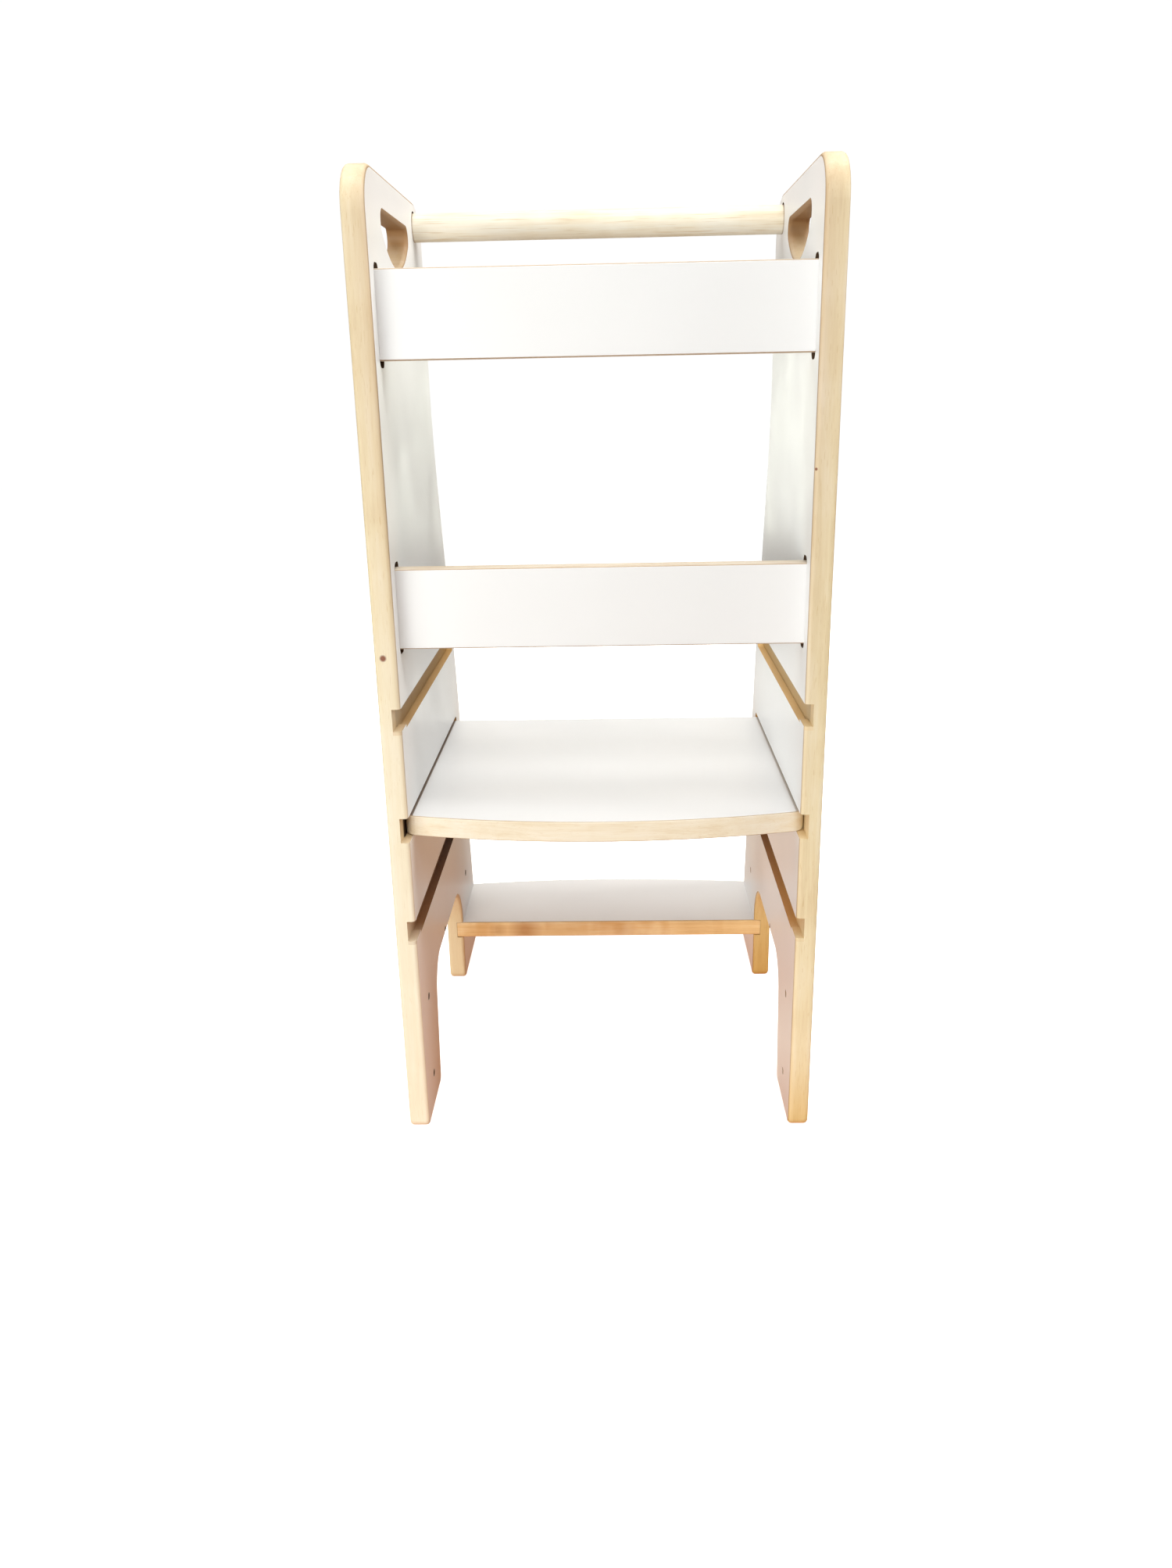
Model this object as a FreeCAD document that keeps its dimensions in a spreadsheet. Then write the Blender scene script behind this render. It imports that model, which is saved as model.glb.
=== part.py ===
import FreeCAD, Part
import math
import os
import Sketcher

# Toddler kitchen helper stool: two side panels, two guard boards, a grab rail, a rear step
# board and a standing platform that slides out of the grooves. Front edge of the panels
# faces -Y, +Z is up, the origin is on the floor under the middle of the stool.

doc = FreeCAD.newDocument("kitchen_helper_stool")
sheet = doc.addObject("Spreadsheet::Sheet", "Sizes")

SIZES = [
    ("overall_width", 400, "over the outer faces of the side panels"),
    ("panel_height", 880, "floor to top edge"),
    ("base_depth", 455, "panel depth at the floor"),
    ("sheet_thickness", 20, "side panels, boards, platform and step"),
    ("edge_round", 4, "radius run along the panel edges"),
    ("top_depth", 300, "panel depth at the top"),
    ("upper_knee_drop", 215, "where the rear edge starts to flare, under the top edge"),
    ("lower_knee_height", 385, "where the flare gets steeper"),
    ("lower_flare", 71, "how far the rear edge flares under that height"),
    ("knee_radius", 400, "of both bends of the rear edge"),
    ("front_top_radius", 38, "front top corner"),
    ("rear_top_radius", 45, "rear top corner"),
    ("foot_radius", 8, "corners of the feet"),
    ("front_leg_foot", 89, "depth of the front leg at the floor"),
    ("front_leg_top", 104, "depth of the front leg at the arch"),
    ("arch_height", 130.5, "floor to the top of the arch"),
    ("rear_leg_depth", 137, "depth of the rear leg at the floor"),
    ("arch_front_radius", 36, "front corner of the arch"),
    ("arch_rear_radius", 51, "rear corner of the arch"),
    ("hand_hole_shift", 10, "its middle ahead of the middle of the top"),
    ("hand_hole_drop", 30.5, "its flat top under the top edge"),
    ("hand_hole_height", 37.5, "flat top to lowest point"),
    ("hand_hole_radius", 103, "of its curved lower edge"),
    ("hand_hole_corner", 8, "corners of the hand hole"),
    ("housing_depth", 8, "grooves and housings cut into the inner faces"),
    ("end_gap", 0.3, "board end to the bottom of its housing"),
    ("fit_gap", 0.1, "board face to the side of its housing"),
    ("board_round", 1.5, "edges of the guard boards and the platform"),
    ("board_height", 71, "guard boards"),
    ("board_setback", 21, "guard boards behind the front edge"),
    ("upper_board_drop", 79, "top of the upper guard board under the panels' top edge"),
    ("board_pitch", 243.5, "between the two guard boards"),
    ("slot_reach", 5.5, "board housing beyond the board's top and bottom"),
    ("slot_corner", 6.5, "corners of the board housings"),
    ("platform_base", 308.5, "underside of the platform in the middle groove"),
    ("platform_play", 0.6, "free height over the platform at the groove mouth"),
    ("platform_seat_gap", 0.2, "running gap under the platform"),
    ("groove_pitch", 104, "between the three grooves"),
    ("groove_margin", 23, "closed ends ahead of the lower bend of the rear edge"),
    ("groove_corner", 8, "corners of the closed end"),
    ("lip_rise", 3.3, "lip at the groove mouth"),
    ("lip_depth", 26, "length of the lip"),
    ("platform_overhang", 3, "middle of the bowed front ahead of the panels' front edge"),
    ("platform_bow", 24, "rise of the bowed front"),
    ("platform_end_gap", 11, "rear edge to the closed end of the groove"),
    ("platform_front_corner", 14, "plan radius"),
    ("platform_rear_corner", 10, "plan radius"),
    ("step_base", 57, "underside of the step"),
    ("step_inset", 14, "ends of the step's rear edge ahead of the foot's rear"),
    ("step_bow", 12, "rise of the step's rear edge"),
    ("step_round", 3, "long edges of the step"),
    ("rail_diameter", 26, "grab rail"),
    ("rail_inset", 49, "rail axis ahead of the rear edge of the panels' top"),
    ("rail_drop", 24, "rail axis under the panels' top edge"),
    ("rail_fit_gap", 0.15, "radial, rail in its socket"),
    ("rail_socket_rise", 2, "socket over the top of the rail"),
    ("leg_hole_diameter", 8, "blind holes in the inner faces of the legs"),
    ("leg_hole_bore", 12, "depth of those holes"),
    ("leg_hole_front", 46, "front pair behind the front edge"),
    ("leg_hole_rear", 48, "rear hole behind the front edge of the rear leg"),
    ("arch_hole_inset", 73, "hole beside the arch's edge, behind the arch's front side"),
    ("arch_hole_rise", 5, "that hole over the top of the arch"),
    ("leg_hole_low", 35, "lower hole over the floor"),
    ("leg_hole_high", 124, "upper holes over the floor"),
    ("screw_length", 50, "connecting screws"),
    ("screw_head_diameter", 10, "flat head"),
    ("screw_head_height", 3, "flat head"),
    ("screw_neck_diameter", 7, "plain neck in the panel"),
    ("screw_core_diameter", 6, "threaded part in the board, drawn plain"),
    ("screw_socket", 4, "hexagon socket across flats"),
    ("screw_socket_depth", 2.2, "hexagon socket"),
    ("screw_sink", 0.3, "head below the outer face"),
    ("screw_gap", 0.1, "radial, screw in its hole"),
    ("pilot_spare", 1, "pilot hole beyond the screw's tip"),
    ("board_screw_inset", 17, "screw axis from the board's long edge"),
    ("step_screw_inset", 30, "screw axis from the step's front and rear"),
]
for row, (alias, number, note) in enumerate(SIZES, start=1):
    sheet.set("A%d" % row, alias)
    sheet.set("B%d" % row, str(number))
    sheet.set("C%d" % row, note)
    sheet.setAlias("B%d" % row, alias)
doc.recompute()

# Places that several pieces share, written once from the sizes above: d is the depth behind
# the panels' front edge and a height is over the floor.
S = "Sizes."
HALF_INNER = "(Sizes.overall_width / 2 - Sizes.sheet_thickness)"
END_REACH = "(%s + Sizes.housing_depth - Sizes.end_gap)" % HALF_INNER
FOOT_ANGLE = "atan(Sizes.lower_knee_height / Sizes.lower_flare)"
FOOT_TRIM = "(Sizes.foot_radius / tan(%s / 2) - Sizes.foot_radius)" % FOOT_ANGLE
FRONT_PLANE = "(-(Sizes.base_depth - %s - Sizes.platform_overhang) / 2)" % FOOT_TRIM
GROOVE_FLOOR = "(Sizes.platform_base - Sizes.platform_seat_gap)"
GROOVE_HEIGHT = "(Sizes.sheet_thickness + Sizes.platform_play + Sizes.lip_rise)"
SLOT_HALF = "(Sizes.sheet_thickness / 2 + Sizes.fit_gap)"
BOARD_AXIS = "(Sizes.board_setback + Sizes.sheet_thickness / 2)"
UPPER_BOARD_BASE = "(Sizes.panel_height - Sizes.upper_board_drop - Sizes.board_height)"
BOARD_BASES = {"upper": UPPER_BOARD_BASE, "lower": "(%s - Sizes.board_pitch)" % UPPER_BOARD_BASE}
UPPER_KNEE = "(Sizes.panel_height - Sizes.upper_knee_drop)"
LOWER_KNEE_D = "(Sizes.base_depth - Sizes.lower_flare)"
GROOVE_END_D = "(%s - Sizes.groove_margin)" % LOWER_KNEE_D
ARCH_REAR_D = "(Sizes.base_depth - Sizes.rear_leg_depth)"
ARCH_HOLE_D = "(Sizes.front_leg_top + Sizes.arch_hole_inset)"
HAND_HOLE_D = "(Sizes.top_depth / 2 - Sizes.hand_hole_shift)"
HAND_HOLE_TOP = "(Sizes.panel_height - Sizes.hand_hole_drop)"
RAIL_D = "(Sizes.top_depth - Sizes.rail_inset)"
RAIL_HEIGHT = "(Sizes.panel_height - Sizes.rail_drop)"
PLATFORM_REAR_D = "(%s - Sizes.platform_end_gap)" % GROOVE_END_D
PLATFORM_CORNER_D = "(Sizes.platform_bow - Sizes.platform_overhang)"
STEP_REAR_D = "(Sizes.base_depth - Sizes.step_inset)"
STEP_AXIS = "(Sizes.step_base + Sizes.sheet_thickness / 2)"
HEAD_SEAT = "(Sizes.screw_head_height + Sizes.screw_sink)"

# A pilot hole takes the screw from the end of the board and a little more.
SCREW_TIP = "(Sizes.overall_width / 2 - Sizes.screw_sink - Sizes.screw_length)"
PILOT_DEPTH = "(%s - %s + Sizes.pilot_spare)" % (END_REACH, SCREW_TIP)


def value(expression):
    return float(sheet.evalExpression(str(expression)))


def origin_plane(body, role):
    for feature in body.Origin.OriginFeatures:
        if feature.Role == role:
            return feature
    raise ValueError(role)


def new_body(name):
    body = doc.addObject("PartDesign::Body", name)
    body.Label = name
    doc.recompute()
    return body


def new_sketch(body, name, role, offset="0"):
    sketch = body.newObject("Sketcher::SketchObject", name)
    sketch.AttachmentSupport = (origin_plane(body, role), [""])
    sketch.MapMode = "FlatFace"
    sketch.setExpression("AttachmentOffset.Base.z", offset)
    return sketch


def dimension(sketch, kind, refs, expression):
    index = sketch.addConstraint(Sketcher.Constraint(kind, *refs, value(expression)))
    label = "%s_%d" % (kind.lower(), index)
    sketch.renameConstraint(index, label)
    sketch.setExpression("Constraints." + label, expression)


def place_point(sketch, geometry, position, across, up):
    for kind, axis, expression in (("DistanceX", -2, across), ("DistanceY", -1, up)):
        if expression == "0":
            sketch.addConstraint(Sketcher.Constraint("PointOnObject", geometry, position, axis))
        else:
            dimension(sketch, kind, (-1, 1, geometry, position), expression)


def add_polygon(sketch, corners):
    points = [FreeCAD.Vector(value(x), value(y), 0) for x, y in corners]
    count = len(points)
    lines = [sketch.addGeometry(Part.LineSegment(points[i], points[(i + 1) % count]), False)
             for i in range(count)]
    for i in range(count):
        sketch.addConstraint(Sketcher.Constraint("Coincident", lines[i], 2, lines[(i + 1) % count], 1))
    for line, (across, up) in zip(lines, corners):
        place_point(sketch, line, 1, across, up)


def add_rectangle(sketch, ahead, behind, low, high):
    corners = [(ahead, low), (behind, low), (behind, high), (ahead, high)]
    add_polygon(sketch, corners)
    return corners


def add_circle(sketch, across, up, diameter):
    centre = FreeCAD.Vector(value(across), value(up), 0)
    circle = sketch.addGeometry(Part.Circle(centre, FreeCAD.Vector(0, 0, 1), value(diameter) / 2), False)
    place_point(sketch, circle, 3, across, up)
    dimension(sketch, "Diameter", (circle,), diameter)


def add_bowed_plate(sketch, half_width, straight, ends, bow):
    """Rectangle whose side at `ends` is an arc that rises `bow` away from `straight`."""
    side, base, tip = value(half_width), value(straight), value(ends)
    crown = tip + math.copysign(value(bow), tip - base)
    corners = [(-side, tip), (-side, base), (side, base), (side, tip)]
    points = [FreeCAD.Vector(x, y, 0) for x, y in corners]
    lines = [sketch.addGeometry(Part.LineSegment(points[i], points[i + 1]), False) for i in range(3)]
    curve = Part.Arc(points[3], FreeCAD.Vector(0, crown, 0), points[0])
    arc = sketch.addGeometry(curve, False)
    start, end = (1, 2) if (sketch.getPoint(arc, 1) - points[3]).Length < 1e-6 else (2, 1)
    sketch.addConstraint(Sketcher.Constraint("Coincident", lines[0], 2, lines[1], 1))
    sketch.addConstraint(Sketcher.Constraint("Coincident", lines[1], 2, lines[2], 1))
    sketch.addConstraint(Sketcher.Constraint("Coincident", lines[2], 2, arc, start))
    sketch.addConstraint(Sketcher.Constraint("Coincident", lines[0], 1, arc, end))
    place_point(sketch, lines[0], 1, "-" + half_width, ends)
    place_point(sketch, lines[1], 1, "-" + half_width, straight)
    place_point(sketch, lines[2], 1, half_width, straight)
    place_point(sketch, lines[2], 2, half_width, ends)
    dimension(sketch, "Radius", (arc,), "(%s ^ 2 + %s ^ 2) / (2 * %s)" % (half_width, bow, bow))


def add_slot(sketch, across, radius, low, high):
    """Upright slot with round ends whose middles lie at the heights low and high."""
    x, r, bottom, top = value(across), value(radius), value(low), value(high)
    axis = FreeCAD.Vector(0, 0, 1)
    lower = sketch.addGeometry(Part.ArcOfCircle(
        Part.Circle(FreeCAD.Vector(x, bottom, 0), axis, r), math.pi, 2 * math.pi), False)
    upper = sketch.addGeometry(Part.ArcOfCircle(
        Part.Circle(FreeCAD.Vector(x, top, 0), axis, r), 0, math.pi), False)
    right = sketch.addGeometry(Part.LineSegment(
        FreeCAD.Vector(x + r, bottom, 0), FreeCAD.Vector(x + r, top, 0)), False)
    left = sketch.addGeometry(Part.LineSegment(
        FreeCAD.Vector(x - r, top, 0), FreeCAD.Vector(x - r, bottom, 0)), False)
    for first, first_end, second, second_end in (
            (lower, 2, right, 1), (right, 2, upper, 1), (upper, 2, left, 1), (left, 2, lower, 1)):
        sketch.addConstraint(Sketcher.Constraint("Tangent", first, first_end, second, second_end))
    place_point(sketch, lower, 3, across, low)
    place_point(sketch, upper, 3, across, high)
    dimension(sketch, "Radius", (lower,), radius)


def add_pad(body, sketch, length, reverse=False, symmetric=False):
    pad = body.newObject("PartDesign::Pad", sketch.Name + "_pad")
    pad.Profile = sketch
    pad.setExpression("Length", length)
    pad.Reversed = reverse
    if symmetric:
        pad.SideType = "Symmetric"
    doc.recompute()
    return pad


def add_pocket(body, sketch, length, reverse=False):
    before = body.Shape.Volume
    pocket = body.newObject("PartDesign::Pocket", sketch.Name + "_cut")
    pocket.Profile = sketch
    pocket.setExpression("Length", length)
    pocket.Reversed = reverse
    doc.recompute()
    if not pocket.Shape.Volume < before - 1:
        raise RuntimeError("%s removed nothing" % pocket.Name)
    return pocket


def add_fillet(body, name, edges, radius):
    if not edges:
        raise RuntimeError("%s has no edges" % name)
    base = body.Tip
    fillet = body.newObject("PartDesign::Fillet", body.Name + "_" + name)
    fillet.Base = (base, edges)
    fillet.setExpression("Radius", radius)
    doc.recompute()
    return fillet


def edges_along(body, direction, places, axes):
    """Names of the tip's straight edges along a direction through one of the places."""
    names = []
    for number, edge in enumerate(body.Tip.Shape.Edges, start=1):
        if edge.Curve.TypeId != "Part::GeomLine":
            continue
        if abs(abs(edge.Curve.Direction.dot(direction)) - 1) > 1e-6:
            continue
        centre = edge.CenterOfMass
        for place in places:
            if all(abs(getattr(centre, axis) - value(at)) < 0.01 for axis, at in zip(axes, place)):
                names.append("Edge%d" % number)
    return names


def rim_edges(body, axis, levels):
    """Names of the edges around the tip's flat faces that lie at the given levels."""
    names = set()
    shape = body.Tip.Shape
    for number, edge in enumerate(shape.Edges, start=1):
        for level in levels:
            low, high = edge.BoundBox.getPoint(0), edge.BoundBox.getPoint(6)
            if abs(getattr(low, axis) - level) < 1e-4 and abs(getattr(high, axis) - level) < 1e-4:
                names.add("Edge%d" % number)
    return sorted(names)


def mirror_tip(body, feature):
    mirrored = body.newObject("PartDesign::Mirrored", feature.Name + "_mirrored")
    mirrored.Originals = [feature]
    mirrored.MirrorPlane = (origin_plane(body, "YZ_Plane"), [""])
    body.Tip = mirrored
    doc.recompute()
    return mirrored


def place_body(body, x, y, z):
    for axis, expression in (("x", x), ("y", y), ("z", z)):
        body.setExpression("Placement.Base." + axis, expression)


X_AXIS = FreeCAD.Vector(1, 0, 0)
Z_AXIS = FreeCAD.Vector(0, 0, 1)

# Screw axes as (behind the front edge, over the floor), seen from the side.
BOARD_SCREWS = [(BOARD_AXIS, "(%s + %s)" % (base, rise))
                for base in BOARD_BASES.values()
                for rise in ("Sizes.board_screw_inset", "Sizes.board_height - Sizes.board_screw_inset")]
STEP_SCREWS = [("(%s + Sizes.step_screw_inset)" % ARCH_REAR_D, STEP_AXIS),
               ("(%s - Sizes.step_screw_inset)" % STEP_REAR_D, STEP_AXIS)]
RAIL_SCREWS = [(RAIL_D, RAIL_HEIGHT)]
ALL_SCREWS = BOARD_SCREWS + STEP_SCREWS + RAIL_SCREWS

# Blind holes in the inner faces, the same way.
LEG_HOLES = [
    (S + "leg_hole_front", S + "leg_hole_low"),
    (S + "leg_hole_front", S + "leg_hole_high"),
    ("(%s + Sizes.leg_hole_rear)" % ARCH_REAR_D, S + "leg_hole_high"),
    (ARCH_HOLE_D, "(Sizes.arch_height + Sizes.arch_hole_rise)"),
]

# Outline of a side panel, corner by corner, with the radius of each corner.
PANEL_CORNERS = [
    ("0", "0", "foot_radius"),
    ("0", S + "panel_height", "front_top_radius"),
    (S + "top_depth", S + "panel_height", "rear_top_radius"),
    (S + "top_depth", UPPER_KNEE, "knee_radius"),
    (LOWER_KNEE_D, S + "lower_knee_height", "knee_radius"),
    (S + "base_depth", "0", "foot_radius"),
    (ARCH_REAR_D, "0", "foot_radius"),
    (ARCH_REAR_D, S + "arch_height", "arch_rear_radius"),
    (S + "front_leg_top", S + "arch_height", "arch_front_radius"),
    (S + "front_leg_foot", "0", "foot_radius"),
]


def groove_corners(floor, has_lip):
    top = "(%s + %s)" % (floor, GROOVE_HEIGHT)
    ahead = "-Sizes.sheet_thickness"
    if has_lip:
        lip_top = "(%s + Sizes.lip_rise)" % floor
        mouth = [(ahead, lip_top), (S + "lip_depth", lip_top), (S + "lip_depth", floor)]
    else:
        mouth = [(ahead, floor)]
    return mouth + [(GROOVE_END_D, floor), (GROOVE_END_D, top), (ahead, top)]


def build_side_panel(name, side):
    """The panel's inner face is its local plane x = 0 and its front edge is y = 0."""
    body = new_body(name)
    left = side < 0
    outline = new_sketch(body, name + "_outline", "YZ_Plane")
    add_polygon(outline, [(across, up) for across, up, radius in PANEL_CORNERS])
    add_pad(body, outline, "Sizes.sheet_thickness", reverse=left)

    hole = new_sketch(body, name + "_hand_hole", "YZ_Plane")
    middle, top = value(HAND_HOLE_D), value(HAND_HOLE_TOP)
    radius, drop = value("Sizes.hand_hole_radius"), value("Sizes.hand_hole_height")
    half = math.sqrt(2 * radius * drop - drop ** 2)
    ends = [FreeCAD.Vector(middle - half, top, 0), FreeCAD.Vector(middle + half, top, 0)]
    chord = hole.addGeometry(Part.LineSegment(ends[0], ends[1]), False)
    centre = FreeCAD.Vector(middle, top - drop + radius, 0)
    opening = math.asin(half / radius)
    arc = hole.addGeometry(Part.ArcOfCircle(
        Part.Circle(centre, FreeCAD.Vector(0, 0, 1), radius),
        1.5 * math.pi - opening, 1.5 * math.pi + opening), False)
    hole.addConstraint(Sketcher.Constraint("Coincident", chord, 1, arc, 1))
    hole.addConstraint(Sketcher.Constraint("Coincident", chord, 2, arc, 2))
    hole.addConstraint(Sketcher.Constraint("Horizontal", chord))
    place_point(hole, arc, 3, HAND_HOLE_D,
                "(%s - Sizes.hand_hole_height + Sizes.hand_hole_radius)" % HAND_HOLE_TOP)
    dimension(hole, "Radius", (arc,), "Sizes.hand_hole_radius")
    dimension(hole, "DistanceY", (-1, 1, chord, 1), HAND_HOLE_TOP)
    add_pocket(body, hole, "Sizes.sheet_thickness", reverse=not left)

    for radius_name in dict.fromkeys(radius for across, up, radius in PANEL_CORNERS):
        places = [(across, up) for across, up, radius in PANEL_CORNERS if radius == radius_name]
        add_fillet(body, radius_name, edges_along(body, X_AXIS, places, "yz"), S + radius_name)
    hole_ends = [(middle - half, top), (middle + half, top)]
    add_fillet(body, "hand_hole_corner", edges_along(body, X_AXIS, hole_ends, "yz"), S + "hand_hole_corner")
    rims = rim_edges(body, "x", (0, side * value("Sizes.sheet_thickness")))
    add_fillet(body, "edge_round", rims, S + "edge_round")

    for level in (-1, 0, 1):
        floor = "(%s + %d * Sizes.groove_pitch)" % (GROOVE_FLOOR, level)
        groove = new_sketch(body, "%s_groove_%d" % (name, level + 2), "YZ_Plane")
        add_polygon(groove, groove_corners(floor, has_lip=level != 0))
        add_pocket(body, groove, "Sizes.housing_depth", reverse=not left)
        closed_end = [(GROOVE_END_D, floor), (GROOVE_END_D, "%s + %s" % (floor, GROOVE_HEIGHT))]
        add_fillet(body, "groove_corner_%d" % (level + 2),
                   edges_along(body, X_AXIS, closed_end, "yz"), "Sizes.groove_corner")

    for board, base in BOARD_BASES.items():
        slot = new_sketch(body, "%s_%s_slot" % (name, board), "YZ_Plane")
        corners = add_rectangle(slot, "(%s - %s)" % (BOARD_AXIS, SLOT_HALF),
                                "(%s + %s)" % (BOARD_AXIS, SLOT_HALF),
                                "(%s - Sizes.slot_reach)" % base,
                                "(%s + Sizes.board_height + Sizes.slot_reach)" % base)
        add_pocket(body, slot, "Sizes.housing_depth", reverse=not left)
        add_fillet(body, board + "_slot_corner",
                   edges_along(body, X_AXIS, corners, "yz"), "Sizes.slot_corner")

    housing = new_sketch(body, name + "_step_housing", "YZ_Plane")
    add_rectangle(housing, "(%s - Sizes.sheet_thickness)" % ARCH_REAR_D,
                  "(Sizes.base_depth + Sizes.sheet_thickness)",
                  "(Sizes.step_base - Sizes.fit_gap)",
                  "(Sizes.step_base + Sizes.sheet_thickness + Sizes.fit_gap)")
    add_pocket(body, housing, "Sizes.housing_depth", reverse=not left)

    socket = new_sketch(body, name + "_rail_socket", "YZ_Plane")
    add_slot(socket, RAIL_D, "(Sizes.rail_diameter / 2 + Sizes.rail_fit_gap)", RAIL_HEIGHT,
             "(%s + Sizes.rail_socket_rise)" % RAIL_HEIGHT)
    add_pocket(body, socket, "Sizes.housing_depth", reverse=not left)

    holes = new_sketch(body, name + "_leg_holes", "YZ_Plane")
    for across, up in LEG_HOLES:
        add_circle(holes, across, up, "Sizes.leg_hole_diameter")
    add_pocket(body, holes, "Sizes.leg_hole_bore", reverse=not left)

    for part, depth in (("neck", "Sizes.sheet_thickness"), ("head", HEAD_SEAT)):
        outer = "%d * Sizes.sheet_thickness" % side
        drilled = new_sketch(body, "%s_screw_%s" % (name, part), "YZ_Plane", outer)
        for across, up in ALL_SCREWS:
            add_circle(drilled, across, up, "(Sizes.screw_%s_diameter + 2 * Sizes.screw_gap)" % part)
        add_pocket(body, drilled, depth, reverse=left)

    place_body(body, "%d * %s" % (side, HALF_INNER), FRONT_PLANE, "0")
    return body


def drill_ends(body, name, end, places, depth):
    """Pilot holes in the end face at x = end, repeated at the other end."""
    sketch = new_sketch(body, name, "YZ_Plane", end)
    for across, up in places:
        add_circle(sketch, across, up, "(Sizes.screw_core_diameter + 2 * Sizes.screw_gap)")
    pocket = add_pocket(body, sketch, depth)
    mirror_tip(body, pocket)


def build_guard_board(name, base):
    """Local origin in the middle of the board's length, depth and height."""
    body = new_body(name)
    section = new_sketch(body, name + "_section", "YZ_Plane")
    deep, tall = "Sizes.sheet_thickness / 2", "Sizes.board_height / 2"
    add_polygon(section, [("-" + deep, "-" + tall), (deep, "-" + tall), (deep, tall), ("-" + deep, tall)])
    add_pad(body, section, "2 * " + END_REACH, symmetric=True)
    corners = [(sign_y + deep, sign_z + tall) for sign_y in ("", "-") for sign_z in ("", "-")]
    add_fillet(body, "board_round", edges_along(body, X_AXIS, corners, "yz"), "Sizes.board_round")
    rise = "(Sizes.board_height / 2 - Sizes.board_screw_inset)"
    drill_ends(body, name + "_pilots", END_REACH, [("0", rise), ("0", "-" + rise)], PILOT_DEPTH)
    place_body(body, "0", FRONT_PLANE + " + " + BOARD_AXIS, "%s + %s" % (base, tall))
    return body

def build_plate(name, straight, ends, bow, corner_sets):
    """Level plate with one bowed edge; local y = 0 is the panels' front edge."""
    body = new_body(name)
    plan = new_sketch(body, name + "_plan", "XY_Plane")
    add_bowed_plate(plan, END_REACH, straight, ends, bow)
    add_pad(body, plan, "Sizes.sheet_thickness")
    for radius_name, at in corner_sets:
        places = [(sign + END_REACH, at) for sign in ("", "-")]
        add_fillet(body, radius_name, edges_along(body, Z_AXIS, places, "xy"), S + radius_name)
    return body


platform = build_plate("standing_platform", PLATFORM_REAR_D, PLATFORM_CORNER_D, "Sizes.platform_bow",
                       [("platform_front_corner", PLATFORM_CORNER_D),
                        ("platform_rear_corner", PLATFORM_REAR_D)])
add_fillet(platform, "board_round",
           rim_edges(platform, "z", (0, value("Sizes.sheet_thickness"))), "Sizes.board_round")
place_body(platform, "0", FRONT_PLANE, "Sizes.platform_base")

step = build_plate("rear_step_board", ARCH_REAR_D, STEP_REAR_D, "Sizes.step_bow", [])
long_edges = [name for name in rim_edges(step, "z", (0, value("Sizes.sheet_thickness")))
              if abs(step.Tip.Shape.Edges[int(name[4:]) - 1].CenterOfMass.x) < 1]
add_fillet(step, "step_round", long_edges, "Sizes.step_round")
drill_ends(step, "rear_step_board_pilots", END_REACH,
           [(across, "Sizes.sheet_thickness / 2") for across, up in STEP_SCREWS], PILOT_DEPTH)
place_body(step, "0", FRONT_PLANE, "Sizes.step_base")

rail = new_body("grab_rail")
rail_section = new_sketch(rail, "grab_rail_section", "YZ_Plane")
add_circle(rail_section, "0", "0", "Sizes.rail_diameter")
add_pad(rail, rail_section, "2 * " + END_REACH, symmetric=True)
drill_ends(rail, "grab_rail_pilots", END_REACH, [("0", "0")], PILOT_DEPTH)
place_body(rail, "0", FRONT_PLANE + " + " + RAIL_D, RAIL_HEIGHT)

left_panel = build_side_panel("side_panel_left", -1)
right_panel = build_side_panel("side_panel_right", 1)
upper_board = build_guard_board("upper_guard_board", BOARD_BASES["upper"])
lower_board = build_guard_board("lower_guard_board", BOARD_BASES["lower"])

# One connecting screw, head at x = 0 and pointing along +X.
screw = new_body("connecting_screw")
profile = new_sketch(screw, "connecting_screw_profile", "XY_Plane")
add_polygon(profile, [
    ("0", "0"),
    ("0", "Sizes.screw_head_diameter / 2"),
    ("Sizes.screw_head_height", "Sizes.screw_head_diameter / 2"),
    ("Sizes.screw_head_height", "Sizes.screw_neck_diameter / 2"),
    ("(Sizes.sheet_thickness - Sizes.housing_depth - Sizes.screw_sink - Sizes.screw_gap)",
     "Sizes.screw_neck_diameter / 2"),
    ("(Sizes.sheet_thickness - Sizes.housing_depth - Sizes.screw_sink - Sizes.screw_gap)",
     "Sizes.screw_core_diameter / 2"),
    ("(Sizes.screw_length - Sizes.screw_core_diameter / 2)", "Sizes.screw_core_diameter / 2"),
    ("Sizes.screw_length", "0"),
])
turned = screw.newObject("PartDesign::Revolution", "connecting_screw_turned")
turned.Profile = profile
turned.ReferenceAxis = (profile, ["H_Axis"])
turned.Angle = 360
doc.recompute()
hexagon = new_sketch(screw, "connecting_screw_socket", "YZ_Plane")
flat = "Sizes.screw_socket / sqrt(3)"
add_polygon(hexagon, [("cos(%d) * %s" % (angle, flat), "sin(%d) * %s" % (angle, flat))
                      for angle in (30, 90, 150, 210, 270, 330)])
add_pocket(screw, hexagon, "Sizes.screw_socket_depth", reverse=True)


def build_screw_group(name, places):
    """The same screw at each place, in both side panels."""
    copies = []
    for across, up in places:
        for side in (-1, 1):
            turn = FreeCAD.Rotation(Z_AXIS, 0 if side < 0 else 180)
            reach = value("Sizes.overall_width / 2 - Sizes.screw_sink")
            base = FreeCAD.Vector(side * reach, value(FRONT_PLANE) + value(across), value(up))
            copy = screw.Tip.Shape.copy()
            copy.Placement = FreeCAD.Placement(base, turn)
            copies.append(copy)
    group = doc.addObject("Part::Feature", name)
    group.Label = name
    group.Shape = Part.makeCompound(copies)
    group.Placement = FreeCAD.Placement()
    return group


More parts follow.
